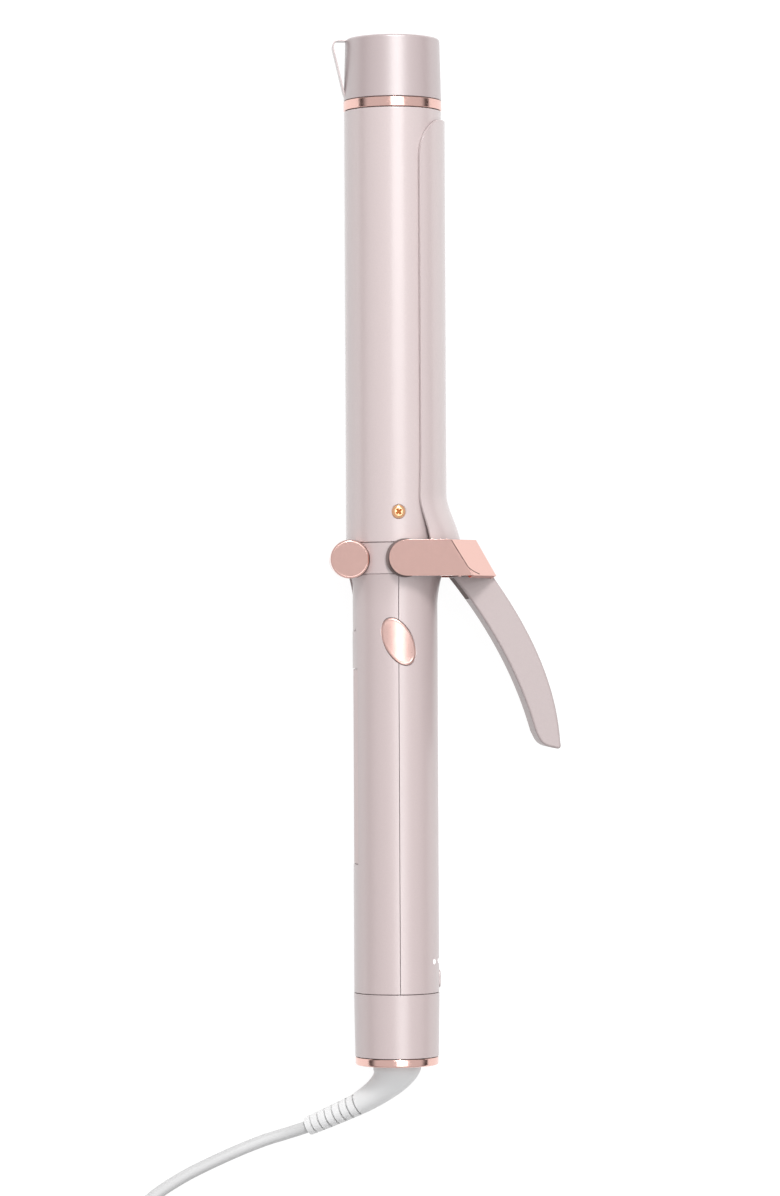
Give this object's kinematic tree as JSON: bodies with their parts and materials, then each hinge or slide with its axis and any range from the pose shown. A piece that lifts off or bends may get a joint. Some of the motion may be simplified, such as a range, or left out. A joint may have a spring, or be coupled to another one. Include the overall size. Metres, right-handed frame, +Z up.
{
  "type": "curling iron",
  "caption": "Round-barrel hair curling iron with a spring clamp and thumb lever, folding stand, power button, swivelling cord boot, and a coiled cord with a plug.",
  "frame": {"origin": "on the flat outer face of the yoke's lower ear, which the iron lies on, straight under the barrel's axis and level with the clamp's hinge line", "axes": "+Y along the barrel towards the cool tip, +X towards the clamp and its lever, +Z up from the table that the iron lies on"},
  "size_m": [0.1588, 0.4564, 0.037],
  "materials": {
    "pearl_paint": "satin pearl",
    "pearl_plastic": "satin pearl",
    "rose_gold": "polished rose gold plating",
    "copper": "polished copper",
    "steel": "plain",
    "dark_steel": "dark",
    "plug_metal": "bright",
    "aluminium": "plain",
    "ceramic": "unglazed",
    "dark_plastic": "matte",
    "board": "coated laminate",
    "capacitor_sleeve": "shrink sleeve",
    "lead_jacket": "matte silicone",
    "clear_plastic": "clear",
    "label": "blank plate",
    "white_jacket": "satin"
  },
  "bodies": {
    "root": {"barrel_tube": "pearl_paint", "barrel_screw_front": "copper", "barrel_screw_back": "copper", "heater_block_front": "aluminium", "heater_block_back": "aluminium", "ceramic_heater": "ceramic", "temperature_sensor": "ceramic", "thermal_fuse": "steel", "heater_carrier": "ceramic", "tip_insulator": "dark_plastic", "tip_ring": "rose_gold", "cool_tip": "pearl_plastic", "tip_screw": "steel", "tip_rest": "pearl_plastic", "pivot_collar": "pearl_plastic", "hinge_stud_front": "steel", "hinge_stud_back": "steel", "clamp_spring": "steel", "handle_shell_clamp_side": "pearl_plastic", "handle_shell_rear_side": "pearl_plastic", "handle_screw_upper": "steel", "handle_screw_lower": "steel", "badge": "rose_gold", "rating_plate": "label", "circuit_board": "board", "triac": "dark_plastic", "filter_capacitor": "capacitor_sleeve", "button_switch": "dark_plastic", "led_light_guide": "clear_plastic", "heater_lead_front": "lead_jacket", "heater_lead_back": "lead_jacket", "end_cap": "pearl_plastic", "end_ring": "rose_gold", "brush_holder": "dark_plastic", "cord_lead": "white_jacket", "cord_coil": "white_jacket", "cord_tail": "white_jacket", "cord_tie": "dark_plastic", "plug_body": "white_jacket", "plug_blade_left": "plug_metal", "plug_blade_right": "plug_metal"},
    "clamp": {"clamp_plate": "pearl_paint", "clamp_yoke": "rose_gold", "clamp_lever": "pearl_plastic", "lever_liner": "dark_steel", "lever_screw_front": "steel", "lever_screw_back": "steel"},
    "stand": {"stand_leg": "pearl_plastic", "stand_axle": "steel", "stand_disc_front": "rose_gold", "stand_disc_back": "rose_gold"},
    "swivel": {"cord_boot": "white_jacket", "slip_ring": "copper"},
    "button": {"power_button": "pearl_plastic"}
  },
  "joints": [
    {"name": "clamp_hinge", "type": "hinge", "parent": "root", "child": "clamp", "pos_m": [0.0025, 0, 0.0185], "axis": [0, 0, -1], "range_deg": [0, 22], "stiffness_Nm_per_rad": 0.6, "springref_deg": -25.78},
    {"name": "stand_hinge", "type": "hinge", "parent": "root", "child": "stand", "pos_m": [-0.01575, -0.0006, 0.0185], "axis": [0, 0, -1], "range_deg": [0, 100]},
    {"name": "cord_swivel", "type": "hinge", "parent": "root", "child": "swivel", "pos_m": [0, -0.1655, 0.0185], "axis": [0, 1, 0], "continuous": true},
    {"name": "power_button", "type": "slide", "parent": "root", "child": "button", "axis": [-1, 0, 0], "range_m": [0, 0.0005], "stiffness_N_per_m": 400, "springref_m": -0.002}
  ]
}
